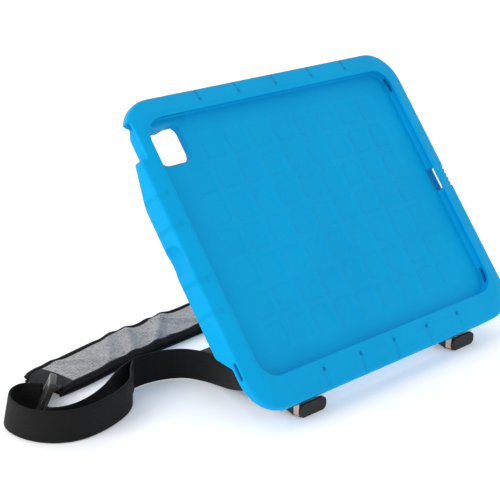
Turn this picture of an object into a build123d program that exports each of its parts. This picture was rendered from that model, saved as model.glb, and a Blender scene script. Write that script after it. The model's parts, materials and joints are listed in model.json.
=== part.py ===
from build123d import *
import math
import os

# Kids' case for a 12.9 inch class tablet: a thick foam shell that leans back on a folding sled stand,
# with a padded shoulder strap. Millimetres, +Z up. The origin is on the surface it stands on, under
# the middle of the case and stand. The screen side faces -Y and leans back towards +Y.

# ---------------------------------------------------------------- driving dimensions: the tablet
TABLET_LENGTH = 280.6
TABLET_WIDTH = 214.9
TABLET_THICKNESS = 6.4
TABLET_CORNER = 18.0
TABLET_PLAY = 0.2            # gap left round the tablet
LIP_OVERLAP = 1.0            # how far the front lip reaches over the glass
LIP_HEIGHT = 1.6             # how far the lip stands above the glass

# ---------------------------------------------------------------- the shell, in the case's own frame
# Case frame: x right, y up the screen, z out of the screen, zero in the middle of the glass.
LEAN_BACK = 36.87            # screen from vertical, degrees
GLASS_CENTRE_Y = -7.5        # where the middle of the glass stands
GLASS_CENTRE_Z = 124.2
SIDE_RIM = 15.5              # foam beyond the tablet's outline
TOP_RIM = 16.5
BOTTOM_RIM = 22.5
SHELL_BACK = -24.0
SHELL_CORNER = 30.0
FLOOR_BACK = -13.0           # back of the thin panel behind the tablet
FRONT_BEVEL_IN = 13.0
FRONT_BEVEL_DOWN = 3.1
GROOVE_WIDTH = 1.2
GROOVE_DEPTH = 0.7
GROOVE_DOT_RADIUS = 1.6
GROOVE_END = 7.0             # from the tablet's outline to the dot at the groove's end
TOP_GROOVES = (-76, -34, 8.5, 51, 93)
BOTTOM_GROOVES = (-82, -40, 0, 41, 81)
SIDE_GROOVES = (-47.5, -22, 22, 47.5)
BUTTON_CUT = (78, 108)       # along the left side, for the power button
BUTTON_FLANGE = 9.2          # foam left in front of the button, beyond the tablet
SPEAKER_SLOTS = ((-105, -81), (81, 105))
CORNER_CHAMFER = 16.0        # the back corners of the shell are cut off this far
CORNER_FROM_X = (117, 130)   # where that starts and is full along the top and bottom
CORNER_BELOW = (-72, -90)    # and along each side, towards the bottom
CORNER_ABOVE = (34, 84)      # and towards the top
DISH_RADIUS = 19.0           # round thumb dish in the middle of the left side
DISH_DEPTH = 5.5
DISH_Z = -15.0
CAMERA_SIZE = 32.0
CAMERA_CENTRE = (-119.0, 86.0)
WAFFLE_PITCH = 26.0
WAFFLE_SIZE = 21.0
WAFFLE_DEPTH = 0.8

# ---------------------------------------------------------------- the stand
FOOT_X = 92.5                # feet and arms, each side of the middle
HINGE_UP = -117.0            # hinge axis in the case frame
HINGE_BACK = -31.5
PIN_RADIUS = 2.0
PIN_FIT = 0.05
KNUCKLE_RADIUS = 4.8
ARM_KNUCKLE_HALF = 8.0
WASHER_THICKNESS = 0.5
BRACKET_KNUCKLE = (8.8, 13.6)
BRACKET_WIDTH = 46.0
BRACKET_HEIGHT = 24.0
BRACKET_UP = -112.0          # middle of the bracket's plate, in the case frame
BRACKET_PLATE = 2.0
BRACKET_SCREW_X = 18.5
BRACKET_SCREW_UP = 7.5
ARM_WIDTH = 24.0
ARM_BOTTOM = 7.0
ARM_TOP = 15.6
ARM_REAR_Y = 41.0
FOOT_WIDTH = 27.5
SHOE_FRONT_Y = -74.5
SHOE_DEPTH = 5.5
CROSSBAR_Y = 14.0
CROSSBAR_DEPTH = 14.0
CROSSBAR_Z = (8.6, 14.2)

# ---------------------------------------------------------------- the strap
WEB_WIDTH = 25.0
WEB_THICKNESS = 1.6
LOOP_X = 133.0               # strap loops on the back of the shell, in the case frame
LOOP_UP = -92.0
LOOP_WIRE = 1.75
LOOP_RISE = 5.5
LOOP_SPAN = 31.0
PAD_WIDTH = 42.0
PAD_THICKNESS = 9.0

# Routes of the webbing's middle line, which stands on its edge on the surface.
EDGE = WEB_WIDTH / 2 + 0.3
LEFT_ROUTE = [(-129, -36, 31), (-121, -19, 23), (-113, 3, 17), (-109.5, 24, 13.6), (-115, 42, EDGE),
              (-131, 51.5, EDGE), (-152, 55, EDGE), (-173, 49, EDGE), (-191, 38.5, EDGE),
              (-208, 28.5, EDGE), (-227, 22, EDGE), (-245, 20.5, EDGE), (-258, 26, EDGE),
              (-260, 36, EDGE), (-245, 51, EDGE)]
LOOP_ROUTE = [(-159, 51.5, EDGE), (-171, 41, EDGE), (-178, 30.5, EDGE), (-191, 21, EDGE),
              (-208, 14.5, EDGE), (-227, 10.5, EDGE), (-246, 11, EDGE), (-261, 20, EDGE),
              (-270, 34, EDGE), (-272, 52, EDGE), (-267, 69, EDGE), (-255, 80, EDGE),
              (-243, 77, EDGE), (-236.2, 64.8, EDGE)]
RIGHT_ROUTE = [(129, -36, 31), (130, -14, 23), (132, 12, 16), (133, 40, EDGE), (130, 70, EDGE),
               (119, 97, EDGE), (95, 117, EDGE), (66, 127, EDGE), (36, 128, EDGE), (12, 126, EDGE)]
PAD_LINE = [(-208, 102), (-185, 103), (-150, 110), (-110, 116), (-70, 119), (-30, 122), (8, 125)]
SLIDER_CENTRE = (-240, 57)
SLIDER_ANGLE = 50.0          # direction of the webbing through it, from +X
SLIDER_LENGTH = 22.0
SLIDER_HEIGHT = 33.0
SLIDER_THICKNESS = 4.0

# ---------------------------------------------------------------- derived
OUTER_LENGTH = TABLET_LENGTH + 2 * SIDE_RIM
OUTER_WIDTH = TABLET_WIDTH + TOP_RIM + BOTTOM_RIM
OUTER_MID = (TOP_RIM - BOTTOM_RIM) / 2
OUTER_X = OUTER_LENGTH / 2
OUTER_TOP = OUTER_MID + OUTER_WIDTH / 2
OUTER_BOTTOM = OUTER_MID - OUTER_WIDTH / 2
CASE = Location((0, GLASS_CENTRE_Y, GLASS_CENTRE_Z), (90 - LEAN_BACK, 0, 0))
LEAN = math.radians(90 - LEAN_BACK)
HINGE_Y = GLASS_CENTRE_Y + HINGE_UP * math.cos(LEAN) - HINGE_BACK * math.sin(LEAN)
HINGE_Z = GLASS_CENTRE_Z + HINGE_UP * math.sin(LEAN) + HINGE_BACK * math.cos(LEAN)


def slab(length, width, corner, low, high, x=0.0, y=0.0):
    """A rounded rectangle between two heights of the case frame."""
    outline = Pos(x, y, low) * RectangleRounded(length, width, corner)
    return extrude(outline, amount=high - low)


def block(low, high):
    """A box between two opposite corners."""
    size = [b - a for a, b in zip(low, high)]
    middle = [(a + b) / 2 for a, b in zip(low, high)]
    return Pos(*middle) * Box(*size)


def rod(radius, start, end):
    """A round bar between two points."""
    line = Vector(*end) - Vector(*start)
    plane = Plane(origin=start, z_dir=line)
    return extrude(plane * Circle(radius), amount=line.length)


def side_prism(points, x_low, x_high):
    """A side view in (y, z), stretched along X."""
    plane = Plane(origin=(x_low, 0, 0), x_dir=(0, 1, 0), z_dir=(1, 0, 0))
    return extrude(plane * make_face(Polyline(*points, close=True)), amount=x_high - x_low)


def save(name, shape):
    export_step(shape, f"parts/{name}.step")
    return shape


# ---------------------------------------------------------------- shell
def groove_profile(rim):
    """A groove's cutter, as distance beyond the tablet's outline against height."""
    outside = rim + 2
    wall = rim - GROOVE_DEPTH
    bevel_low = LIP_HEIGHT - FRONT_BEVEL_DOWN - 0.8
    bevel_high = LIP_HEIGHT - 0.9
    inner = max(GROOVE_END, rim - FRONT_BEVEL_IN)
    shape = [(outside, SHELL_BACK - 1), (wall, SHELL_BACK - 1), (wall, bevel_low), (inner, bevel_high)]
    if inner > GROOVE_END:
        shape.append((GROOVE_END, bevel_high))
    return shape + [(GROOVE_END, LIP_HEIGHT + 2), (outside, LIP_HEIGHT + 2)]


def groove(rim, edge, angle, along):
    """One groove with its end dot, on the side that faces the given angle."""
    plane = Plane(origin=(0, 0, 0), x_dir=(1, 0, 0), z_dir=(0, 1, 0))
    points = [(edge + d, -z) for d, z in groove_profile(rim)]
    strip = extrude(plane * make_face(Polyline(*points, close=True)), amount=GROOVE_WIDTH / 2, both=True)
    dot = Pos(edge + GROOVE_END, 0, LIP_HEIGHT - 0.4) * Cylinder(GROOVE_DOT_RADIUS, 2.0)
    return Pos(*along) * Rot(0, 0, angle) * (strip + dot)


def all_grooves():
    half_x = TABLET_LENGTH / 2
    half_y = TABLET_WIDTH / 2
    cuts = [groove(TOP_RIM, half_y, 90, (x, 0, 0)) for x in TOP_GROOVES]
    cuts += [groove(BOTTOM_RIM, half_y, -90, (x, 0, 0)) for x in BOTTOM_GROOVES]
    cuts += [groove(SIDE_RIM, half_x, 0, (0, y, 0)) for y in SIDE_GROOVES]
    cuts += [groove(SIDE_RIM, half_x, 180, (0, y, 0)) for y in SIDE_GROOVES]
    return cuts


def shell_openings():
    """Everything cut through the rim and the panel: buttons, speakers, port and camera."""
    tablet_x = TABLET_LENGTH / 2
    low, high = BUTTON_CUT
    front = -tablet_x - BUTTON_FLANGE
    cuts = [block((-OUTER_X - 2, low, SHELL_BACK - 1), (-tablet_x + 2, high, -3.0)),
            block((-OUTER_X - 2, low, -4.0), (front, high, 4.0))]
    for low, high in SPEAKER_SLOTS:
        for side in (-1, 1):
            if side < 0 < low:
                continue
            walls = sorted((side * (tablet_x - 2), side * (OUTER_X + 2)))
            cuts.append(block((walls[0], low + 5, -5.6), (walls[1], high - 5, -2.8)))
    cuts.append(Pos(-OUTER_X - DISH_RADIUS + DISH_DEPTH, -1, DISH_Z) * Sphere(DISH_RADIUS))
    port = block((tablet_x - 2, -10, -8.6), (OUTER_X + 2, 10, -1.2))
    funnel = block((OUTER_X - 8, -12, -14.0), (OUTER_X + 2, 12, -2.8))
    camera = slab(CAMERA_SIZE, CAMERA_SIZE, 8, SHELL_BACK - 1, -TABLET_THICKNESS + 1, *CAMERA_CENTRE)
    volume = block((-118, TABLET_WIDTH / 2 - 2, -5.4), (-92, OUTER_TOP - 9, -2.2))
    return cuts + [port, funnel, camera, volume]


def corner_cuts():
    """The back edge cut off at 45 degrees round each corner, running out along the sides."""
    start = SHELL_BACK + CORNER_CHAMFER
    wide = RectangleRounded(OUTER_LENGTH, OUTER_WIDTH, SHELL_CORNER)
    inset = 2 * CORNER_CHAMFER
    narrow = RectangleRounded(OUTER_LENGTH - inset, OUTER_WIDTH - inset, SHELL_CORNER - CORNER_CHAMFER)
    kept = loft([Pos(0, OUTER_MID, SHELL_BACK) * narrow, Pos(0, OUTER_MID, start) * wide], ruled=True)
    low = SHELL_BACK - 1
    ring = block((-OUTER_X - 2, OUTER_BOTTOM - 2, low), (OUTER_X + 2, OUTER_TOP + 2, start)) - kept
    far = OUTER_X + 10
    halves = []
    for (begin, full), limit in ((CORNER_BELOW, -far), (CORNER_ABOVE, far)):
        halves.append(side_prism([(begin, low), (full, start), (limit, start), (limit, low)], -far, far))
    plane = Plane(origin=(0, -far, 0), x_dir=(1, 0, 0), z_dir=(0, 1, 0))
    begin, full = CORNER_FROM_X
    cuts = []
    for side in (-1, 1):
        points = [(side * x, -z) for x, z in ((begin, low), (full, start), (far, start), (far, low))]
        end = extrude(plane * make_face(Polyline(*points, close=True)), amount=2 * far)
        cuts += [ring & half & end for half in halves]
    return cuts


def volume_bumps():
    """Two raised lands on the top side over the volume keys."""
    bumps = [Pos(x, OUTER_TOP, -9) * Box(15, 2.4, 8) for x in (-115, -95)]
    return [fillet(bump.edges(), 1.0) for bump in bumps]


def front_cap():
    """The convex front of the rim: a shallow pyramid on top of the wall."""
    low = LIP_HEIGHT - FRONT_BEVEL_DOWN
    base = Pos(0, OUTER_MID, low) * RectangleRounded(OUTER_LENGTH, OUTER_WIDTH, SHELL_CORNER)
    inset = 2 * FRONT_BEVEL_IN
    crown = Pos(0, OUTER_MID, LIP_HEIGHT) * RectangleRounded(
        OUTER_LENGTH - inset, OUTER_WIDTH - inset, SHELL_CORNER - FRONT_BEVEL_IN)
    return loft([base, crown], ruled=True)


def waffle_places():
    """Centres of the shallow cells in the floor, leaving out those at the camera opening."""
    columns = [WAFFLE_PITCH * i for i in range(-4, 5)]
    rows = [WAFFLE_PITCH * i for i in range(-3, 4)]
    reach = (CAMERA_SIZE + WAFFLE_SIZE) / 2 + 3
    return [(x, y) for x in columns for y in rows
            if max(abs(x - CAMERA_CENTRE[0]), abs(y - CAMERA_CENTRE[1])) > reach]


def make_shell():
    low = LIP_HEIGHT - FRONT_BEVEL_DOWN
    body = slab(OUTER_LENGTH, OUTER_WIDTH, SHELL_CORNER, SHELL_BACK, low, 0, OUTER_MID)
    body = fillet(body.faces().sort_by(Axis.Z)[0].edges(), 6.0)
    body = body + front_cap()
    rim_edges = [e for e in body.edges() if abs(e.bounding_box().max.Z - low) < 0.01
                 and abs(e.bounding_box().min.Z - low) < 0.01]
    body = fillet(rim_edges, 2.5)
    pocket = slab(TABLET_LENGTH + 2 * TABLET_PLAY, TABLET_WIDTH + 2 * TABLET_PLAY, TABLET_CORNER,
                  -TABLET_THICKNESS, 0)
    mouth = slab(TABLET_LENGTH - 2 * LIP_OVERLAP, TABLET_WIDTH - 2 * LIP_OVERLAP,
                 TABLET_CORNER - LIP_OVERLAP, -1, LIP_HEIGHT + 1)
    recess = slab(OUTER_LENGTH - 64, OUTER_WIDTH - 53, 22, SHELL_BACK - 1, FLOOR_BACK, 0, 3.5)
    body = body + volume_bumps()
    body = body - pocket - mouth - recess
    cell_floor = -TABLET_THICKNESS - WAFFLE_DEPTH
    cells = [slab(WAFFLE_SIZE, WAFFLE_SIZE, 5, cell_floor, -TABLET_THICKNESS + 1, x, y)
             for x, y in waffle_places()]
    body = body - cells
    for cut in corner_cuts() + shell_openings() + all_grooves():
        body = body - cut
    return body


# ---------------------------------------------------------------- hinge brackets, in the case frame
def bracket_plate(x):
    plate = slab(BRACKET_WIDTH, BRACKET_HEIGHT, 4, SHELL_BACK - BRACKET_PLATE, SHELL_BACK, x, BRACKET_UP)
    for side in (-1, 1):
        low, high = BRACKET_KNUCKLE
        ear_low, ear_high = sorted((x + side * low, x + side * high))
        ear = block((ear_low, HINGE_UP - KNUCKLE_RADIUS, HINGE_BACK),
                    (ear_high, HINGE_UP + KNUCKLE_RADIUS, SHELL_BACK - BRACKET_PLATE))
        ear = ear + rod(KNUCKLE_RADIUS, (ear_low, HINGE_UP, HINGE_BACK), (ear_high, HINGE_UP, HINGE_BACK))
        plate = plate + ear
    plate = plate - rod(PIN_RADIUS, (x - 20, HINGE_UP, HINGE_BACK), (x + 20, HINGE_UP, HINGE_BACK))
    for px, py in bracket_screw_places(x):
        plate = plate - Pos(px, py, SHELL_BACK - 1) * Cylinder(1.6, 8)
    return plate


def bracket_screw_places(x):
    return [(x + sx * BRACKET_SCREW_X, BRACKET_UP + sy * BRACKET_SCREW_UP)
            for sx in (-1, 1) for sy in (-1, 1)]


def pan_screw(x, y, seat, tip, shank=1.6, head=3.0, head_height=1.7):
    """A pan-head screw driven towards +Z in the case frame, its head under the given seat."""
    body = Pos(x, y, (seat + tip) / 2) * Cylinder(shank, tip - seat)
    cap = Pos(x, y, seat - head_height / 2) * Cylinder(head, head_height)
    cap = fillet(cap.edges().sort_by(Axis.Z)[0], 0.8)
    cross = [Pos(x, y, seat - head_height) * Rot(0, 0, a) * Box(3.0, 0.7, 1.2) for a in (0, 90)]
    return (body + cap) - cross[0] - cross[1]


def washers(x):
    """A friction washer each side of the arm's knuckle."""
    gap_middle = (ARM_KNUCKLE_HALF + BRACKET_KNUCKLE[0]) / 2
    out = []
    for side in (-1, 1):
        start = x + side * gap_middle - WASHER_THICKNESS / 2
        ring = rod(KNUCKLE_RADIUS - 0.4, (start, HINGE_UP, HINGE_BACK),
                   (start + WASHER_THICKNESS, HINGE_UP, HINGE_BACK))
        hole = rod(PIN_RADIUS, (start - 1, HINGE_UP, HINGE_BACK),
                   (start + 2, HINGE_UP, HINGE_BACK))
        out.append(ring - hole)
    return out


def hinge_pin(x):
    reach = BRACKET_KNUCKLE[1]
    pin = rod(PIN_RADIUS, (x - reach, HINGE_UP, HINGE_BACK), (x + reach, HINGE_UP, HINGE_BACK))
    for side in (-1, 1):
        start = x + side * reach
        head = rod(3.2, (start, HINGE_UP, HINGE_BACK), (start + side * 1.2, HINGE_UP, HINGE_BACK))
        pin = pin + head
    return pin


def backing_plate(x, y, length, height, holes, low=-18.0, thick=1.5):
    """A steel plate moulded into the foam, which the screws bite into."""
    plate = slab(length, height, 3, low, low + thick, x, y)
    for px, py in holes:
        plate = plate - Pos(px, py, low) * Cylinder(1.6, 8)
    return plate


# ---------------------------------------------------------------- stand, in the row frame
def arm(x):
    """One sled arm: a thin neck over the foot, the hinge knuckle, then a straight leg to the rear."""
    neck_top = 7.2
    shoe_back = SHOE_FRONT_Y + SHOE_DEPTH
    neck = side_prism([(shoe_back, 0.6), (-46, 6.6), (-46, 12), (HINGE_Y, 12), (-57.4, 9.4),
                       (-61.6, neck_top), (shoe_back, neck_top)], x - ARM_KNUCKLE_HALF, x + ARM_KNUCKLE_HALF)
    neck_wide = side_prism([(shoe_back, 0.6), (-61, 2.9), (-61, neck_top), (shoe_back, neck_top)],
                           x - FOOT_WIDTH / 2, x + FOOT_WIDTH / 2)
    knuckle = rod(KNUCKLE_RADIUS, (x - ARM_KNUCKLE_HALF, HINGE_Y, HINGE_Z),
                  (x + ARM_KNUCKLE_HALF, HINGE_Y, HINGE_Z))
    leg_front = HINGE_Y + KNUCKLE_RADIUS + 1.4
    leg = side_prism([(leg_front, 6.3), (leg_front + 4, ARM_BOTTOM), (ARM_REAR_Y, ARM_BOTTOM),
                      (ARM_REAR_Y, ARM_TOP - 1), (ARM_REAR_Y - 6, ARM_TOP), (leg_front + 3, ARM_TOP),
                      (leg_front, ARM_TOP - 2)], x - ARM_WIDTH / 2, x + ARM_WIDTH / 2)
    bridge = side_prism([(HINGE_Y, 8), (leg_front + 1, 6.6), (leg_front + 1, ARM_TOP - 1.4),
                         (HINGE_Y + 1, HINGE_Z + KNUCKLE_RADIUS - 0.3)],
                        x - ARM_KNUCKLE_HALF, x + ARM_KNUCKLE_HALF)
    shape = neck + neck_wide + knuckle + leg + bridge
    shape = shape - rod(PIN_RADIUS + PIN_FIT, (x - 20, HINGE_Y, HINGE_Z), (x + 20, HINGE_Y, HINGE_Z))
    for rivet in foot_rivets(x):
        shape = shape - rivet
    shape = shape - crossbar_screw(x)
    return shape


def foot_shoe(x):
    """The metal shoe on the front of an arm; its top follows the underside of the case."""
    back = SHOE_FRONT_Y + SHOE_DEPTH
    shoe = side_prism([(SHOE_FRONT_Y, 1.6), (back, 1.6), (back, 7.9), (-71.0, 8.8), (SHOE_FRONT_Y, 11.4)],
                      x - FOOT_WIDTH / 2, x + FOOT_WIDTH / 2)
    for rivet in foot_rivets(x):
        shoe = shoe - rivet
    return shoe


def foot_rivets(x):
    out = []
    for side in (-1, 1):
        px = x + side * 8
        head = rod(2.4, (px, SHOE_FRONT_Y, 4.6), (px, SHOE_FRONT_Y + 1.2, 4.6))
        out.append(head + rod(1.3, (px, SHOE_FRONT_Y + 1.2, 4.6), (px, SHOE_FRONT_Y + 10, 4.6)))
    return out


def foot_pad(x):
    """The rubber front and sole of a foot."""
    front = SHOE_FRONT_Y - 2.2
    back = SHOE_FRONT_Y + SHOE_DEPTH
    face = Plane(origin=(x, front, 5.2), x_dir=(1, 0, 0), z_dir=(0, -1, 0)) * RectangleRounded(
        FOOT_WIDTH + 1, 10.4, 4.4)
    pad = extrude(face, amount=-2.2)
    sole = block((x - FOOT_WIDTH / 2 + 2, SHOE_FRONT_Y, 0), (x + FOOT_WIDTH / 2 - 2, back, 1.6))
    return pad + sole


def rear_boot(x):
    low_y = ARM_REAR_Y - 14
    boot = block((x - ARM_WIDTH / 2 - 2, low_y, 0), (x + ARM_WIDTH / 2 + 2, ARM_REAR_Y + 2.5, ARM_TOP + 2))
    boot = fillet(boot.edges().filter_by(Axis.X), 1.5)
    boot = fillet([e for e in boot.edges().filter_by(Axis.Z) if e.center().Y > low_y + 5], 4.0)
    hollow = side_prism([(low_y - 1, ARM_BOTTOM), (ARM_REAR_Y, ARM_BOTTOM), (ARM_REAR_Y, ARM_TOP - 1),
                         (ARM_REAR_Y - 6, ARM_TOP), (low_y - 1, ARM_TOP)],
                        x - ARM_WIDTH / 2, x + ARM_WIDTH / 2)
    return boot - hollow


def crossbar():
    half = FOOT_X - ARM_WIDTH / 2
    bar = block((-half, CROSSBAR_Y - CROSSBAR_DEPTH / 2, CROSSBAR_Z[0]),
                (half, CROSSBAR_Y + CROSSBAR_DEPTH / 2, CROSSBAR_Z[1]))
    bar = fillet(bar.edges().filter_by(Axis.X), 1.8)
    return bar - crossbar_screw(-FOOT_X) - crossbar_screw(FOOT_X)


def crossbar_screw(x):
    """A screw through an arm from its outer side into the end of the crossbar."""
    side = 1 if x > 0 else -1
    middle_z = sum(CROSSBAR_Z) / 2
    outer = x + side * ARM_WIDTH / 2
    head = rod(2.6, (outer, CROSSBAR_Y, middle_z), (outer - side * 2.0, CROSSBAR_Y, middle_z))
    shank = rod(1.5, (outer - side * 2.0, CROSSBAR_Y, middle_z),
                (outer - side * (ARM_WIDTH + 9), CROSSBAR_Y, middle_z))
    return head + shank


# ---------------------------------------------------------------- strap hardware
def strap_loop(side):
    """A fixed wire loop on a small plate, on the back of the rim."""
    x = side * LOOP_X
    half = LOOP_SPAN / 2
    plate = slab(11, 48, 4, SHELL_BACK - 1.5, SHELL_BACK, x, LOOP_UP)
    seat = SHELL_BACK - 1.0
    bar_z = SHELL_BACK - 1.5 - LOOP_RISE
    wire = FilletPolyline((x, LOOP_UP - half, seat), (x, LOOP_UP - half, bar_z),
                          (x, LOOP_UP + half, bar_z), (x, LOOP_UP + half, seat), radius=3.0)
    ring = sweep(Plane(origin=wire @ 0, z_dir=wire % 0) * Circle(LOOP_WIRE), path=wire)
    plate = plate + ring
    for px, py in loop_screw_places(side):
        plate = plate - Pos(px, py, SHELL_BACK - 1) * Cylinder(1.6, 8)
    return plate


def loop_screw_places(side):
    return [(side * LOOP_X, LOOP_UP + s * 20.5) for s in (-1, 1)]


def route_radii(points):
    """Each corner's arc: 0.45 of its shorter run over the tangent of half the turn."""
    corners = []
    places = [Vector(*p) for p in points]
    for before, here, after in zip(places, places[1:], places[2:]):
        turn = math.radians((here - before).get_angle(after - here))
        shorter = min((here - before).length, (after - here).length)
        corners.append(0.45 * shorter / math.tan(turn / 2))
    return corners


def webbing(name, points):
    """Flat webbing on its edge: straight runs joined by tangent arcs."""
    radii = route_radii(points)
    path = FilletPolyline(*points, radius=radii)
    start = Plane(origin=path @ 0, x_dir=Vector(0, 0, 1).cross(path % 0), z_dir=path % 0)
    section = start * Rectangle(WEB_THICKNESS, WEB_WIDTH)
    band = sweep(section, path=path)
    ideal = WEB_THICKNESS * WEB_WIDTH * path.length
    print(f"{name}: length {path.length:.1f}, radii {[round(r, 1) for r in radii]}, "
          f"volume {band.volume:.0f} of {ideal:.0f}")
    return band


def slider():
    """A three-bar slider that holds both layers of the webbing."""
    frame = Box(SLIDER_LENGTH, SLIDER_THICKNESS, SLIDER_HEIGHT)
    frame = fillet(frame.edges().filter_by(Axis.Y), 2.5)
    slot_height = WEB_WIDTH + 1.6
    for place in (-5.3, 5.3):
        frame = frame - Pos(place, 0, 0) * Box(5.6, SLIDER_THICKNESS + 2, slot_height)
    return Pos(*SLIDER_CENTRE, SLIDER_HEIGHT / 2) * Rot(0, 0, SLIDER_ANGLE) * frame


def shoulder_pad():
    """A flat padded sleeve along a gentle curve, resting on the surface."""
    line = Spline(*[(x, y, PAD_THICKNESS / 2) for x, y in PAD_LINE])
    start = Plane(origin=line @ 0, x_dir=Vector(0, 0, 1).cross(line % 0), z_dir=line % 0)
    section = start * RectangleRounded(PAD_WIDTH, PAD_THICKNESS, 4.0)
    return sweep(section, path=line)


def pad_tab():
    """The short doubled webbing from the slider to the pad."""
    start = (SLIDER_CENTRE[0] + 8, SLIDER_CENTRE[1] + 9, EDGE)
    route = [start, (-225, 76, EDGE), (-214, 88, EDGE), (-206, 101, EDGE)]
    return webbing("pad_tab", route)


def main():
    os.makedirs("parts", exist_ok=True)
    shell = make_shell()
    plates = []
    for name, x in (("left", -FOOT_X), ("right", FOOT_X)):
        places = bracket_screw_places(x)
        screws = [pan_screw(px, py, SHELL_BACK - BRACKET_PLATE, -14.5) for px, py in places]
        backing = backing_plate(x, BRACKET_UP, BRACKET_WIDTH, BRACKET_HEIGHT, places)
        plates += [backing] + screws
        save(f"bracket_{name}", CASE * bracket_plate(x))
        save(f"bracket_screws_{name}", CASE * Compound(screws))
        save(f"bracket_backing_{name}", CASE * backing)
        save(f"hinge_pin_{name}", CASE * hinge_pin(x))
        save(f"hinge_washers_{name}", CASE * Compound(washers(x)))
        save(f"stand_arm_{name}", arm(x))
        save(f"foot_shoe_{name}", foot_shoe(x))
        save(f"foot_rivets_{name}", Compound(foot_rivets(x)))
        save(f"foot_pad_{name}", foot_pad(x))
        save(f"rear_boot_{name}", rear_boot(x))
        save(f"crossbar_screw_{name}", crossbar_screw(x))
    for name, side in (("left", -1), ("right", 1)):
        places = loop_screw_places(side)
        screws = [pan_screw(px, py, SHELL_BACK - 1.5, -14.5) for px, py in places]
        backing = backing_plate(side * LOOP_X, LOOP_UP, 9, 46, places)
        plates += [backing] + screws
        save(f"strap_loop_{name}", CASE * strap_loop(side))
        save(f"strap_loop_screws_{name}", CASE * Compound(screws))
        save(f"strap_loop_backing_{name}", CASE * backing)
    for piece in plates:
        shell = shell - piece
    save("case_shell", CASE * shell)
    save("stand_crossbar", crossbar())
    save("webbing_left", webbing("webbing_left", LEFT_ROUTE))
    save("webbing_loop", webbing("webbing_loop", LOOP_ROUTE))
    save("webbing_right", webbing("webbing_right", RIGHT_ROUTE))
    save("strap_slider", slider())
    save("shoulder_pad", shoulder_pad())
    save("pad_tab", pad_tab())
    print(f"hinge at y {HINGE_Y:.2f}, z {HINGE_Z:.2f}; shell {OUTER_LENGTH:.1f} x {OUTER_WIDTH:.1f}")


main()
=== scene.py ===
"""A blue foam tablet case on its folding stand, with a padded webbing shoulder strap."""
import json
import math

import bmesh
import bpy
import numpy as np
from mathutils import Matrix, Vector


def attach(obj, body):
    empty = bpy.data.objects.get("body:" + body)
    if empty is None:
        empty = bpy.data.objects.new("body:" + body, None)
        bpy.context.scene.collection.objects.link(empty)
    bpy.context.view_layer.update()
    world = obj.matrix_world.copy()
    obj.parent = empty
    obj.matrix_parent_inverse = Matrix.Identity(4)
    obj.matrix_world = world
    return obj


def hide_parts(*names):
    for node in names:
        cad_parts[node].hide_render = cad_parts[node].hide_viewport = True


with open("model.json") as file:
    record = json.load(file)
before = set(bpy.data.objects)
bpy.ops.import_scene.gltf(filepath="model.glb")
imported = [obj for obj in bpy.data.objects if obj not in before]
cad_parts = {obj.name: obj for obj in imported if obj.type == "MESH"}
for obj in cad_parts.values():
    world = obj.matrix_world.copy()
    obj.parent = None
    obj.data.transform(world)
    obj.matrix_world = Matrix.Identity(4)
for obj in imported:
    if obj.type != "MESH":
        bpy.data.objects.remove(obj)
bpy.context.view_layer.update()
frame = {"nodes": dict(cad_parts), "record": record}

UP = Vector((0, 0, 1))

# ---------------------------------------------------------------- camera, floor and lights
CAMERA_PLACE = (-0.8297, -0.7383, 0.4562)
CAMERA_LOOK = (0.675, 0.667, -0.314)
CAMERA_LENS = 104.24                   # millimetres, as is the sensor
CAMERA_SENSOR = 36.0
FLOOR_HALF = 6.0
FLOOR_DROP = 0.0002                    # keeps the floor just clear of the soles
FLOOR_GLOW = 0.16                      # lightens the shadow on the floor
SKY_STRENGTH = 0.86
SOFT_BOXES = (                         # name, place, what it points at, size, power
    ("key", (-1.9, 0.35, 0.9), (-0.05, 0, 0.1), 1.1, 17.5),
    ("front", (0.9, -1.9, 1.2), (0, 0, 0.1), 1.6, 2),
    ("back", (0.4, 1.8, 1.5), (0, 0, 0.1), 1.6, 12),
)

# ---------------------------------------------------------------- the shell, in its tilted frame
SCREEN_LEAN = math.radians(53.13)      # the screen's tilt about X, from lying flat
GLASS_CENTRE = Vector((0.0, -0.0075, 0.1242))
TABLET_HALF = (0.1403, 0.10745)
FOAM_VOXEL = 0.0008
FOAM_SMOOTHING = 2
# Grooves of each side of the rim: places along it, darkness of the painted shade along the lines, darkness of
# the painted shade in the end dots.
SIDE_GROOVES = ((-0.0475, -0.022, 0.022, 0.0475), 0.10, 0.10)
TOP_GROOVES = ((-0.076, -0.034, 0.0085, 0.051, 0.093), 0.48, 0.42)
BOTTOM_GROOVES = ((-0.082, -0.040, 0.0, 0.041, 0.081), 0.05, 0.36)
RIM_START = 0.004                      # from the tablet's outline to where the valleys begin
VALLEY_HALF = 0.0035                   # half the width of the soft valley along each groove
VALLEY_DEPTH = 0.0008
SHADE_LINE_HALF = 0.0008                   # half the width of the painted shade along a groove's bottom
DOT_REACH = 0.007                      # from the tablet's outline to the dot at a groove's inner end
# radius of the painted shade in each end dot
DOT_RADIUS = 0.0019
LINE_FADE = 0.006                      # past its dot, a line's painted shade takes this far to reach full darkness

# ---------------------------------------------------------------- the strap
WEB_WIDTH = 0.025
WEB_THICKNESS = 0.0016
WEB_OUTLINE = ((-0.5, 0.12), (-0.49, 0.36), (-0.46, 0.46), (-0.4, 0.5), (-0.25, 0.5), (0.0, 0.5),
               (0.25, 0.5), (0.4, 0.5), (0.46, 0.46), (0.49, 0.36), (0.5, 0.12))
EDGE = 0.0128                          # height of the middle of webbing that stands on its edge
FLAT = 0.0011                          # and of webbing that lies flat
TAB_WIDTH = WEB_WIDTH * 0.96
TAB_LIE = math.radians(88)             # how far the tab has turned over where it meets the pad
LEFT_LENGTH = 0.265
LOOP_LENGTH = 0.208
RIGHT_LENGTH = 0.260
STITCH_STEP = 0.0028
STITCH_RADIUS = 0.00028
STITCH_STRETCH = 3.6                   # a stitch's length over its thickness
STITCH_HIGH = WEB_WIDTH * 0.36         # half the height of a sewn box
STITCH_PROUD = 0.0001
JUNCTION_AT = 62                       # points along the left run's line
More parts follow.
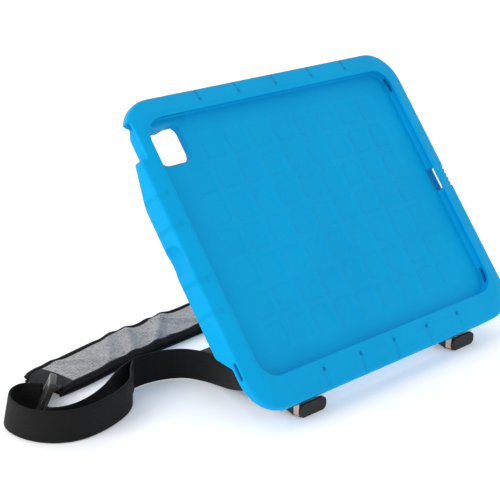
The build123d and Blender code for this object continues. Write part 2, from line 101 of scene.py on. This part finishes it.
JUNCTION_LENGTH = 0.016
END_STITCH_AT = 4
END_STITCH_LENGTH = 0.007

SLIDER_CENTRE = (-0.240, 0.057, 0.0168)
SLIDER_SIZE = (0.022, 0.005, 0.033)    # along the webbing, through it, and across its width
SLIDER_CORNER = 0.0018
SLIDER_BEVEL = 0.0007
SLIDER_SLOT = (0.0054, WEB_WIDTH + 0.0014)
SLOT_PLACES = (-0.0053, 0.0053)
SLOT_CORNER = 0.0008
SLIDER_TURN = math.radians(50)
SLIDER_LEAN = math.radians(24)
SLIDER_SIDE = Vector((math.sin(SLIDER_TURN), -math.cos(SLIDER_TURN), 0.0))
SLIDER_GRIP = 0.012                    # webbing has the slider's full lean this near its middle
LEAN_FADE = 0.03                       # and stands upright again this much further off

PAD_WIDTH = 0.040
PAD_HEIGHT = 0.0078
PAD_CROWN = 0.13                       # how far the top bulges, as a share of the height
PAD_END = 0.012                        # length over which each end tapers
PAD_END_HEIGHT = 0.55                  # share of the height left at the very end
PAD_LIFT = 0.0004                      # clear of the floor
PAD_POCKET = 0.013                     # the pad's black end pocket
PAD_TOP_FACES = 16                     # the last of them, along the far edge, is black binding
PIPING = {"low": 0.0012, "high": 0.0021}
PIPING_OUT = 0.0004
PIPING_SINK = 0.0003
# Folds of the pad's cloth: place along the pad, slant, height.
PAD_FOLDS = ((0.047, -0.9, 0.0016), (0.076, 1.1, 0.0022), (0.101, 0.8, 0.0034),
             (0.118, -0.7, 0.0024), (0.137, 1.2, 0.0036), (0.160, -0.8, 0.0026),
             (0.185, 1.0, 0.0018))
FOLD_HALF = 0.006

LEFT_ROUTE = [(-.129, -.036, .031), (-.121, -.019, .023), (-.113, .003, .017), (-.1095, .024, .0136),
              (-.115, .042, EDGE), (-.131, .0515, EDGE), (-.152, .055, EDGE), (-.173, .049, EDGE),
              (-.191, .0385, EDGE), (-.208, .0285, EDGE), (-.227, .022, EDGE), (-.245, .0205, EDGE),
              (-.258, .026, EDGE), (-.260, .036, EDGE), (-.245, .051, EDGE)]
LOOP_ROUTE = [(-.159, .0515, EDGE), (-.171, .041, EDGE), (-.178, .0305, EDGE), (-.191, .021, EDGE),
              (-.208, .0145, EDGE), (-.227, .0105, EDGE), (-.246, .011, EDGE), (-.261, .020, EDGE),
              (-.270, .034, EDGE), (-.272, .052, EDGE), (-.267, .069, EDGE), (-.255, .080, EDGE),
              (-.243, .077, EDGE), (-.2362, .0648, EDGE)]
RIGHT_ROUTE = [(.129, -.036, .031), (.130, -.014, .023), (.132, .012, .016), (.133, .040, EDGE),
               (.130, .070, EDGE), (.119, .097, EDGE), (.095, .117, EDGE), (.066, .127, .0122),
               (.036, .128, .0065), (.018, .1265, .0028), (.003, .1255, .0022)]
TAB_ROUTE = [(-.235, .063, EDGE), (-.227, .074, .0085), (-.216, .087, .0052), (-.203, .101, .0048)]
PAD_ROUTE = [(-.208, .102, .0045), (-.185, .103, .0045), (-.150, .110, .0045), (-.110, .116, .0045),
             (-.070, .119, .0045), (-.030, .122, .0045), (.008, .125, .0045)]


# ---------------------------------------------------------------- material tools
class Shader:
    """A Principled material and short calls for adding nodes to it."""

    def __init__(self, name, **sockets):
        self.material = bpy.data.materials.new(name)
        self.material.use_nodes = True
        self.tree = self.material.node_tree
        self.principled = self.tree.nodes["Principled BSDF"]
        for key, value in sockets.items():
            self.principled.inputs[key.replace("_", " ")].default_value = value

    def node(self, kind, links, **settings):
        """A node; links maps its inputs to sockets or plain values."""
        made = self.tree.nodes.new(kind)
        for key, value in settings.items():
            setattr(made, key, value)
        for key, value in links.items():
            if isinstance(value, bpy.types.NodeSocket):
                self.tree.links.new(value, made.inputs[key])
            else:
                made.inputs[key].default_value = value
        return made

    def place(self):
        """Positions in metres, fixed to the object."""
        return self.node("ShaderNodeTexCoord", {}).outputs["Object"]

    def noise(self, scale, detail=3.0, rough=0.5, at=None):
        """Soft noise, mostly between 0.3 and 0.7."""
        links = {"Vector": at or self.place(), "Scale": scale, "Detail": detail, "Roughness": rough}
        return self.node("ShaderNodeTexNoise", links).outputs["Fac"]

    def lines(self, stretch):
        """Noise drawn out into lines by unequal scales along X, Y and Z."""
        mapping = self.node("ShaderNodeMapping", {"Vector": self.place(), "Scale": stretch})
        return self.noise(1.0, 3, 0.6, mapping.outputs["Vector"])

    def cells(self, scale):
        """Distance from the middles of small random cells."""
        return self.node("ShaderNodeTexVoronoi", {"Vector": self.place(), "Scale": scale}).outputs["Distance"]

    def math(self, operation, a, b=0.0):
        """One sum on sockets or numbers."""
        return self.node("ShaderNodeMath", {0: a, 1: b}, operation=operation).outputs[0]

    def spread(self, value, low, high, new_low=0.0, new_high=1.0, kind="LINEAR"):
        """A value moved from one range to another, and kept inside it."""
        links = {"Value": value, "From Min": low, "From Max": high, "To Min": new_low, "To Max": new_high}
        return self.node("ShaderNodeMapRange", links, interpolation_type=kind).outputs["Result"]

    def blend(self, factor, first, second):
        """A mix of two colours."""
        return self.node("ShaderNodeMix", {0: factor, 6: first, 7: second}, data_type="RGBA").outputs[2]

    def bump(self, height, distance, strength=1.0, under=None):
        """A bump from a height, on top of another bump where one is given."""
        links = {"Height": height, "Distance": distance, "Strength": strength}
        if under is not None:
            links["Normal"] = under
        return self.node("ShaderNodeBump", links).outputs["Normal"]

    def colour(self, socket):
        self.tree.links.new(socket, self.principled.inputs["Base Color"])

    def roughness(self, socket):
        self.tree.links.new(socket, self.principled.inputs["Roughness"])

    def normal(self, socket):
        self.tree.links.new(socket, self.principled.inputs["Normal"])


# ---------------------------------------------------------------- materials
def floor_material():
    """Plain white paper with the faintest tooth."""
    s = Shader("floor_paper", Roughness=0.85, Emission_Strength=FLOOR_GLOW)
    s.principled.inputs["Emission Color"].default_value = (1.0, 1.0, 1.0, 1.0)
    s.colour(s.blend(s.noise(3.0), (0.93, 0.93, 0.93, 1), (0.95, 0.95, 0.95, 1)))
    return s.material


def foam_material():
    """Moulded foam: even blue, fine closed cells, faint scuffs, and painted shade in the grooves and their
    end dots.
    """
    s = Shader("foam", Specular_IOR_Level=0.07, Subsurface_Weight=0.05, Subsurface_Scale=0.004)
    s.principled.inputs["Subsurface Radius"].default_value = (0.2, 0.6, 1.0)
    valleys, groove_shade = groove_marks(s)
    base = s.blend(s.spread(s.noise(14, 4), 0.3, 0.7), (0.0, 0.325, 0.66, 1), (0.0, 0.36, 0.71, 1))
    speckled = s.blend(s.spread(s.noise(1400, 2), 0.62, 0.85, 0, 0.35), base, (0.0, 0.42, 0.80, 1))
    # Painted shade: the groove bottoms and end dots are darkened to a deep blue.
    s.colour(s.blend(groove_shade, speckled, (0.0, 0.075, 0.19, 1)))
    s.roughness(s.spread(s.noise(60, 5, 0.6), 0.3, 0.7, 0.46, 0.6))
    cells = s.bump(s.cells(1100), 0.00005, 0.5)
    grain = s.bump(s.noise(260, 3), 0.00008, 0.6, cells)
    s.normal(s.bump(valleys, VALLEY_DEPTH, 1.0, grain))
    return s.material


def groove_marks(s):
    """The rim's grooves: soft valleys, as a height, and painted shade along their bottoms and in their end
    dots.
    """
    turned = s.node("ShaderNodeVectorRotate", {"Vector": s.place(), "Center": GLASS_CENTRE,
                                               "Angle": -SCREEN_LEAN}, rotation_type="X_AXIS")
    local = s.node("ShaderNodeVectorMath", {0: turned.outputs["Vector"], 1: GLASS_CENTRE},
                   operation="SUBTRACT")
    parts = s.node("ShaderNodeSeparateXYZ", {"Vector": local.outputs["Vector"]})
    x, y = parts.outputs["X"], parts.outputs["Y"]
    half_x, half_y = TABLET_HALF
    sides = ((s.math("SUBTRACT", s.math("ABSOLUTE", x), half_x), y, SIDE_GROOVES),
             (s.math("SUBTRACT", y, half_y), x, TOP_GROOVES),
             (s.math("SUBTRACT", s.math("MULTIPLY", y, -1.0), half_y), x, BOTTOM_GROOVES))
    height = 1.0
    # The darkness gathered here is painted shade, mixed into the foam colour.
    dark = 0.0
    for beyond, along, (places, line_shade, dot_shade) in sides:
        on_rim = s.math("GREATER_THAN", beyond, RIM_START)
        past_dot = s.spread(beyond, DOT_REACH, DOT_REACH + LINE_FADE, 0.25, 1.0)
        line_share = s.math("MULTIPLY", s.math("MULTIPLY", on_rim, past_dot), line_shade)
        to_dot = s.math("POWER", s.math("SUBTRACT", beyond, DOT_REACH), 2.0)
        for place in places:
            gap = s.math("ABSOLUTE", s.math("SUBTRACT", along, place))
            dip = s.spread(gap, 0.0, VALLEY_HALF, 1.0, 0.0, "SMOOTHSTEP")
            height = s.math("SUBTRACT", height, s.math("MULTIPLY", dip, on_rim))
            # Painted shade along the groove's bottom, and in the dot at its inner end.
            across = s.spread(gap, SHADE_LINE_HALF * 0.5, SHADE_LINE_HALF * 1.3, 1.0, 0.0)
            crease_shade = s.math("MULTIPLY", across, line_share)
            from_dot = s.math("SQRT", s.math("ADD", s.math("POWER", gap, 2.0), to_dot))
            dot = s.spread(from_dot, DOT_RADIUS * 0.6, DOT_RADIUS * 1.15, dot_shade, 0.0)
            dark = s.math("MAXIMUM", dark, s.math("MAXIMUM", crease_shade, dot))
    return height, dark


def plastic_material(name, shade, rough, grain):
    """Black moulded plastic or rubber with a fine spark texture."""
    s = Shader(name, Specular_IOR_Level=0.4)
    dark = (shade, shade, shade * 1.05, 1)
    light = (shade * 1.7, shade * 1.7, shade * 1.8, 1)
    s.colour(s.blend(s.spread(s.noise(40, 4), 0.35, 0.7), dark, light))
    s.roughness(s.spread(s.noise(180, 4), 0.3, 0.7, rough - 0.07, rough + 0.08))
    s.normal(s.bump(s.cells(grain), 0.00006, 0.6))
    return s.material


def metal_material(name, colour, rough):
    """Plated sheet with a fine brushed grain across X and slight tarnish."""
    s = Shader(name, Metallic=1.0)
    grain = s.lines((40, 1600, 1600))
    tarnish = [c * 0.82 for c in colour] + [1]
    s.colour(s.blend(s.spread(s.noise(220, 4), 0.45, 0.8), (*colour, 1), tarnish))
    s.roughness(s.spread(grain, 0.3, 0.7, rough - 0.06, rough + 0.08))
    s.normal(s.bump(grain, 0.00002, 0.5))
    return s.material


def webbing_material():
    """Black webbing: slanting herringbone ribs along the band."""
    s = Shader("webbing_weave", Specular_IOR_Level=0.14, Sheen_Weight=0.03, Sheen_Roughness=0.5)
    uv = s.node("ShaderNodeUVMap", {}, uv_map="band").outputs["UV"]
    parts = s.node("ShaderNodeSeparateXYZ", {"Vector": uv})
    along, across = parts.outputs["X"], parts.outputs["Y"]
    folded = s.math("PINGPONG", across, 0.0016)
    slant = s.math("ADD", s.math("MULTIPLY", along, 4200.0), s.math("MULTIPLY", folded, 3400.0))
    ribs = s.spread(s.math("SINE", slant), -1, 1)
    columns = s.spread(s.math("SINE", s.math("MULTIPLY", across, 3927.0)), -1, 1)
    weave = s.math("MULTIPLY", ribs, s.math("ADD", s.math("MULTIPLY", columns, 0.5), 0.5))
    fluff = s.noise(900, 3)
    lit = s.math("MULTIPLY", weave, s.spread(fluff, 0.2, 0.8, 0.5, 1.2))
    s.colour(s.blend(lit, (0.002, 0.002, 0.0022, 1), (0.013, 0.013, 0.0136, 1)))
    s.roughness(s.spread(fluff, 0.3, 0.7, 0.62, 0.82))
    s.normal(s.bump(weave, 0.0003, 0.7))
    return s.material


def heather_material():
    """Grey heather cloth: crossed threads of two greys with dark flecks."""
    s = Shader("heather_cloth", Specular_IOR_Level=0.2, Sheen_Weight=0.25, Sheen_Roughness=0.6)
    threads = s.math("MAXIMUM", s.lines((220, 1700, 1700)), s.lines((1700, 220, 1700)))
    base = s.blend(s.spread(threads, 0.42, 0.72), (0.10, 0.097, 0.097, 1), (0.54, 0.525, 0.525, 1))
    flecks = s.spread(s.noise(520, 4, 0.7), 0.54, 0.68, 0.0, 0.7)
    s.colour(s.blend(flecks, base, (0.10, 0.096, 0.098, 1)))
    s.roughness(s.spread(threads, 0.3, 0.8, 0.78, 0.95))
    s.normal(s.bump(threads, 0.0003, 0.8, s.bump(s.noise(70, 3), 0.0006, 0.4)))
    return s.material


def black_cloth_material():
    """Black knitted edging."""
    s = Shader("black_edging", Specular_IOR_Level=0.14, Sheen_Weight=0.04, Sheen_Roughness=0.5)
    knit = s.cells(1300)
    s.colour(s.blend(s.spread(knit, 0.1, 0.7), (0.004, 0.004, 0.0043, 1), (0.018, 0.018, 0.019, 1)))
    s.roughness(s.spread(s.noise(300, 3), 0.3, 0.7, 0.7, 0.9))
    s.normal(s.bump(knit, 0.0002, 0.8))
    return s.material


def thread_material():
    """Black sewing thread, a little shinier than the webbing."""
    s = Shader("sewing_thread", Specular_IOR_Level=0.45)
    twist = s.noise(3500, 2)
    s.colour(s.blend(twist, (0.012, 0.012, 0.013, 1), (0.05, 0.05, 0.052, 1)))
    s.roughness(s.spread(twist, 0.3, 0.7, 0.45, 0.6))
    return s.material


# ---------------------------------------------------------------- camera and light
def add_camera():
    """The camera in front, to the left and above."""
    data = bpy.data.cameras.new("camera")
    data.lens = CAMERA_LENS
    data.sensor_width = CAMERA_SENSOR
    camera = bpy.data.objects.new("camera", data)
    bpy.context.collection.objects.link(camera)
    camera.location = CAMERA_PLACE
    camera.rotation_euler = Vector(CAMERA_LOOK).to_track_quat("-Z", "Y").to_euler()
    bpy.context.scene.camera = camera


def area_light(name, place, aim, size, power):
    """A square soft box."""
    data = bpy.data.lights.new(name, "AREA")
    data.size = size
    data.energy = power
    light = bpy.data.objects.new(name, data)
    bpy.context.collection.objects.link(light)
    light.location = place
    light.rotation_euler = (Vector(aim) - Vector(place)).to_track_quat("-Z", "Y").to_euler()


def add_studio():
    """A pale floor, a white sky and the soft boxes."""
    half = FLOOR_HALF
    corners = [(-half, -half, 0), (half, -half, 0), (half, half, 0), (-half, half, 0)]
    mesh = bpy.data.meshes.new("floor")
    mesh.from_pydata(corners, [], [(0, 1, 2, 3)])
    mesh.materials.append(floor_material())
    floor = bpy.data.objects.new("floor", mesh)
    bpy.context.collection.objects.link(floor)
    floor.location.z = -FLOOR_DROP
    bpy.context.scene.view_settings.view_transform = "Standard"
    world = bpy.data.worlds.new("sky")
    bpy.context.scene.world = world
    world.use_nodes = True
    background = world.node_tree.nodes["Background"]
    background.inputs["Color"].default_value = (1.0, 1.0, 1.0, 1.0)
    background.inputs["Strength"].default_value = SKY_STRENGTH
    for box in SOFT_BOXES:
        area_light(*box)


# ---------------------------------------------------------------- shape tools
def new_object(name, mesh, material):
    """A smooth-shaded object that rides on the case."""
    made = bpy.data.objects.new(name, mesh)
    bpy.context.collection.objects.link(made)
    mesh.materials.append(material)
    for face in mesh.polygons:
        face.use_smooth = True
    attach(made, "case")
    return made


def mesh_of(curve):
    """The mesh that a curve makes; the curve itself is removed."""
    holder = bpy.data.objects.new(curve.name, curve)
    mesh = bpy.data.meshes.new_from_object(holder)
    bpy.data.objects.remove(holder)
    bpy.data.curves.remove(curve)
    return mesh


def spline_points(route):
    """Points along the smooth NURBS line that a route controls."""
    curve = bpy.data.curves.new("line", "CURVE")
    curve.dimensions = "3D"
    curve.resolution_u = 10
    spline = curve.splines.new("NURBS")
    spline.points.add(len(route) - 1)
    for point, place in zip(spline.points, route):
        point.co = (*place, 1.0)
    spline.order_u = 3
    spline.use_endpoint_u = True
    mesh = mesh_of(curve)
    points = [vertex.co.copy() for vertex in mesh.vertices]
    bpy.data.meshes.remove(mesh)
    return points


def tangents(points):
    """The direction of a line at each of its points."""
    last = len(points) - 1
    return [(points[min(i + 1, last)] - points[max(i - 1, 0)]).normalized() for i in range(last + 1)]


def distances(points):
    """How far along a line each of its points is."""
    travelled = [0.0]
    for before, after in zip(points, points[1:]):
        travelled.append(travelled[-1] + (after - before).length)
    return travelled


def skin_rings(name, rings):
    """A closed mesh through rings of equal length."""
    count = len(rings[0])
    verts = [p for ring in rings for p in ring]
    faces = []
    for i in range(len(rings) - 1):
        for j in range(count):
            k = (j + 1) % count
            faces.append((i * count + j, i * count + k, (i + 1) * count + k, (i + 1) * count + j))
    faces.append(tuple(reversed(range(count))))
    faces.append(tuple(range((len(rings) - 1) * count, len(rings) * count)))
    mesh = bpy.data.meshes.new(name)
    mesh.from_pydata(verts, [], faces)
    return mesh


def band_mesh(name, points, ups, width):
    """Flat webbing with soft edges along a line; its UV map holds metres along and across."""
    outline = list(WEB_OUTLINE) + [(a, -h) for a, h in reversed(WEB_OUTLINE)]
    rings = []
    for point, heading, rough_up in zip(points, tangents(points), ups):
        up = (rough_up - heading * rough_up.dot(heading)).normalized()
        side = heading.cross(up)
        rings.append([point + up * (a * width) + side * (h * WEB_THICKNESS) for a, h in outline])
    mesh = skin_rings(name, rings)
    uv = mesh.uv_layers.new(name="band")
    travelled = distances(points)
    for loop in mesh.loops:
        ring, spot = divmod(loop.vertex_index, len(outline))
        uv.data[loop.index].uv = (travelled[ring], outline[spot][0] * width)
    return mesh


def rounded_rectangle(length, height, radius, x=0.0):
    """Points round a rectangle with round corners, its middle at x."""
    points = []
    for turn, (sx, sy) in enumerate(((1, 1), (-1, 1), (-1, -1), (1, -1))):
        for step in range(5):
            angle = math.pi / 2 * (turn + step / 4)
            points.append((x + sx * (length / 2 - radius) + radius * math.cos(angle),
                           sy * (height / 2 - radius) + radius * math.sin(angle)))
    return points


# ---------------------------------------------------------------- the webbing
def webbing(name, route, node, ups, width=WEB_WIDTH):
    """One run of webbing; returns it and the line that it follows."""
    points = spline_points(route)
    mesh = band_mesh(name, points, ups(points), width)
    made = new_object(name, mesh, looks["webbing"])
    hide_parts(node)
    return made, points


def standing(points):
    """Directions across webbing on its edge, which leans over only near the slider."""
    return [UP + SLIDER_SIDE * lean_near_slider(point) for point in points]


def lean_near_slider(point):
    """How far webbing leans over, in a short stretch each side of the slider."""
    gap = (point - Vector(SLIDER_CENTRE)).length
    share = max(0.0, min(1.0, 1 - (gap - SLIDER_GRIP) / LEAN_FADE))
    return math.tan(SLIDER_LEAN) * share * share * (3 - 2 * share)


def lying_down(points):
    """Directions across webbing that turns from the slider's lean to flat."""
    last = len(points) - 1
    turns = [SLIDER_LEAN + (TAB_LIE - SLIDER_LEAN) * (i / last) ** 0.7 for i in range(last + 1)]
    return [UP * math.cos(t) + SLIDER_SIDE * math.sin(t) for t in turns]


def turning_flat(points):
    """Directions across webbing that turns over from its edge to flat as its line comes down."""
    ups = []
    for point, heading in zip(points, tangents(points)):
        upright = max(0.0, min(1.0, (point.z - FLAT) / (EDGE - FLAT)))
        side = UP.cross(heading).normalized()
        ups.append(UP * upright + side * math.sqrt(1 - upright * upright))
    return ups


def stitch_run(name, corners):
    """A row of raised thread stitches through corner points."""
    mesh_maker = bmesh.new()
    for start, end in zip(corners, corners[1:]):
        run = end - start
        count = max(1, int(run.length / STITCH_STEP))
        turn = UP.rotation_difference(run)
        for i in range(count):
            middle = start + run * ((i + 0.5) / count)
            made = bmesh.ops.create_uvsphere(mesh_maker, u_segments=6, v_segments=5, radius=STITCH_RADIUS)
            for vertex in made["verts"]:
                vertex.co.z *= STITCH_STRETCH
                vertex.co = turn @ vertex.co + middle
    mesh = bpy.data.meshes.new(name)
    mesh_maker.to_mesh(mesh)
    mesh_maker.free()
    return new_object(name, mesh, looks["thread"])


def box_stitch(name, points, at, length, side):
    """A sewn square with a cross, on one face of webbing that stands on edge."""
    heading = tangents(points)[at]
    upright = (UP - heading * heading.z).normalized()
    out = heading.cross(upright) * side * (WEB_THICKNESS * 0.5 + STITCH_PROUD)
    along = heading * (length / 2)
    up = upright * STITCH_HIGH
    middle = points[at] + out
    a, b, c, d = (middle - along - up, middle + along - up, middle + along + up, middle - along + up)
    return stitch_run(name, [a, b, c, d, a, c, b, d])


# ---------------------------------------------------------------- the shoulder pad
def pad_stations():
    """Places along the pad: point, direction across, distance along, height of the pad there."""
    line = spline_points(PAD_ROUTE)
    travelled = distances(line)
    stations = []
    for point, heading, along in zip(line, tangents(line), travelled):
        share = min(1.0, along / PAD_END, (travelled[-1] - along) / PAD_END)
        height = PAD_HEIGHT * (PAD_END_HEIGHT + (1 - PAD_END_HEIGHT) * math.sqrt(max(share, 0.0)))
        stations.append((point, UP.cross(heading).normalized(), along, height))
    return stations


def pad_section(width, height):
    """The pad's outline: crowned top, upright sides, flat bottom. Pairs of across, up."""
    crown = [(a, height * (1 + PAD_CROWN * (1 - (2 * a) ** 2)))
             for a in np.linspace(-0.5, 0.5, PAD_TOP_FACES + 1)]
    far_side = [(0.5, height * k) for k in (0.9, 0.7, 0.5, 0.3, 0.1)]
    bottom = [(a, 0.0) for a in np.linspace(0.5, -0.5, 9)]
    near_side = [(-0.5, height * k) for k in (0.1, 0.3, 0.5, 0.7, 0.9)]
    return [(a * width, up) for a, up in crown + far_side + bottom + near_side]


def pucker(along, across):
    """How far the cloth lifts: slanting soft folds, and ripples near the sewn edges."""
    folds = 0.0
    for centre, slant, size in PAD_FOLDS:
        gap = (along - centre - slant * across) / FOLD_HALF
        folds += size * math.exp(-gap * gap)
    ripple = 0.0003 * math.sin(along * 210 + 2.1 * math.sin(along * 61)) * abs(across / 0.021) ** 2
    return folds + ripple


def shoulder_pad():
    """The padded sleeve: crowned heather cloth on top, black sides and piping along its edges."""
    stations = pad_stations()
    rings = []
    for point, across, along, height in stations:
        width = PAD_WIDTH * (0.985 + 0.015 * math.sin(along * 95))
        base = Vector((point.x, point.y, PAD_LIFT))
        ring = []
        for a, up in pad_section(width, height):
            lift = pucker(along, a) if up > height * 0.95 else 0.0
            ring.append(base + across * a + UP * (up + lift))
        rings.append(ring)
    mesh = skin_rings("pad_body", rings)
    body = new_object("pad_body", mesh, looks["pad_black"])
    mesh.materials.append(looks["pad_cloth"])
    for face in mesh.polygons:
        ring, spot = divmod(min(face.vertices), len(rings[0]))
        on_top = spot < PAD_TOP_FACES - 1 and len(face.vertices) == 4
        face.material_index = 1 if on_top and stations[ring][2] > PAD_POCKET else 0
    shape = body.modifiers.new("smooth", "SUBSURF")
    shape.levels = shape.render_levels = 1
    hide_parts("shoulder_pad")
    for label, side in (("near", -1), ("far", 1)):
        for level, radius in PIPING.items():
            piping(f"pad_piping_{label}_{level}", piping_path(stations, side, level), radius)


def piping_path(stations, side, level):
    """The line of the piping along one long edge, low on the floor or high at the cloth."""
    path = []
    for point, across, along, height in stations:
        rise = PIPING["low"]
        if level == "high":
            rise = height - PIPING_SINK + pucker(along, side * PAD_WIDTH / 2) * 0.5
        path.append(Vector((point.x, point.y, rise)) + across * side * (PAD_WIDTH / 2 + PIPING_OUT))
    return path


def piping(name, path, radius):
    """A thin round cord of cloth along a seam."""
    steps = [math.tau * i / 8 for i in range(8)]
    rings = []
    for point, heading in zip(path, tangents(path)):
        side = heading.cross(UP).normalized()
        up = side.cross(heading).normalized()
        rings.append([point + side * (radius * math.cos(t)) + up * (radius * math.sin(t)) for t in steps])
    new_object(name, skin_rings(name, rings), looks["pad_black"])


# ---------------------------------------------------------------- the slider and the shell
def slider():
    """A three-bar slider that leans over with the webbing in it."""
    length, thick, height = SLIDER_SIZE
    curve = bpy.data.curves.new("slider", "CURVE")
    curve.dimensions = "2D"
    curve.fill_mode = "BOTH"
    curve.extrude = thick / 2 - SLIDER_BEVEL
    curve.bevel_depth = SLIDER_BEVEL
    curve.bevel_resolution = 3
    outlines = [rounded_rectangle(length, height, SLIDER_CORNER)]
    outlines += [rounded_rectangle(*SLIDER_SLOT, SLOT_CORNER, place) for place in SLOT_PLACES]
    for outline in outlines:
        spline = curve.splines.new("POLY")
        spline.points.add(len(outline) - 1)
        for point, (a, b) in zip(spline.points, outline):
            point.co = (a, b, 0, 1)
        spline.use_cyclic_u = True
    mesh = mesh_of(curve)
    upright = Matrix.Rotation(math.pi / 2, 4, "X")
    lean = Matrix.Rotation(SLIDER_LEAN, 4, "X")
    turn = Matrix.Rotation(SLIDER_TURN, 4, "Z")
    mesh.transform(Matrix.Translation(SLIDER_CENTRE) @ turn @ lean @ upright)
    made = new_object("slider_frame", mesh, looks["slider"])
    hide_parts("strap_slider")
    return made


def soft_shell():
    """The foam shell with its edges softened the way moulded foam's are."""
    copy = frame["nodes"]["case_shell"].data.copy()
    copy.materials.clear()
    shell = bpy.data.objects.new("shell_copy", copy)
    bpy.context.collection.objects.link(shell)
    remesh = shell.modifiers.new("remesh", "REMESH")
    remesh.mode = "VOXEL"
    remesh.voxel_size = FOAM_VOXEL
    smooth = shell.modifiers.new("smooth", "SMOOTH")
    smooth.factor = 0.5
    smooth.iterations = FOAM_SMOOTHING
    even = bpy.data.meshes.new_from_object(shell.evaluated_get(bpy.context.evaluated_depsgraph_get()))
    bpy.data.objects.remove(shell)
    made = new_object("foam_shell", even, looks["foam"])
    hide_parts("case_shell")


# ---------------------------------------------------------------- making it all
add_camera()
add_studio()
looks = {
    "foam": foam_material(),
    "webbing": webbing_material(),
    "thread": thread_material(),
    "slider": plastic_material("slider_resin", 0.022, 0.36, 1200),
    "pad_cloth": heather_material(),
    "pad_black": black_cloth_material(),
}

# Each run of webbing: its route, its real length, and how it stands.
runs = {
    "left": (LEFT_ROUTE, LEFT_LENGTH, standing),
    "loop": (LOOP_ROUTE, LOOP_LENGTH, standing),
    "right": (RIGHT_ROUTE, RIGHT_LENGTH, turning_flat),
}
bands = {}
for run, (route, length, ups) in runs.items():
    bands[run] = webbing(f"band_{run}", route, f"webbing_{run}", ups)
tab_band, _ = webbing("band_tab", TAB_ROUTE, "pad_tab", lying_down, TAB_WIDTH)
shoulder_pad()
slider_frame = slider()

riders = {"left": [slider_frame, tab_band], "loop": [], "right": []}
for run in ("left", "right"):
    for face, side in (("inner", 1), ("outer", -1)):
        riders[run].append(box_stitch(f"stitch_{run}_end_{face}", bands[run][1], END_STITCH_AT,
                                      END_STITCH_LENGTH, side))
riders["left"].append(box_stitch("stitch_junction", bands["left"][1], JUNCTION_AT, JUNCTION_LENGTH, 1))

soft_shell()

# Finishes of the CAD nodes, by material slot.
finishes = {
    "shell_foam": looks["foam"],
    "hinge_metal": metal_material("rose_gold_plate", (0.80, 0.56, 0.42), 0.3),
    "screw_steel": metal_material("zinc_plate", (0.62, 0.62, 0.63), 0.34),
    "washer_brass": metal_material("brass_sheet", (0.75, 0.58, 0.3), 0.35),
    "arm_nylon": plastic_material("nylon", 0.014, 0.5, 1500),
    "foot_rubber": plastic_material("foot_rubber_grain", 0.011, 0.66, 900),
    "slider_plastic": looks["slider"],
    "pad_fabric": looks["pad_cloth"],
    "webbing": looks["webbing"],
}
for part in frame["record"]["subparts"]:
    for holder in frame["nodes"][part["node"]].material_slots:
        holder.material = finishes[part["material_slot"]]
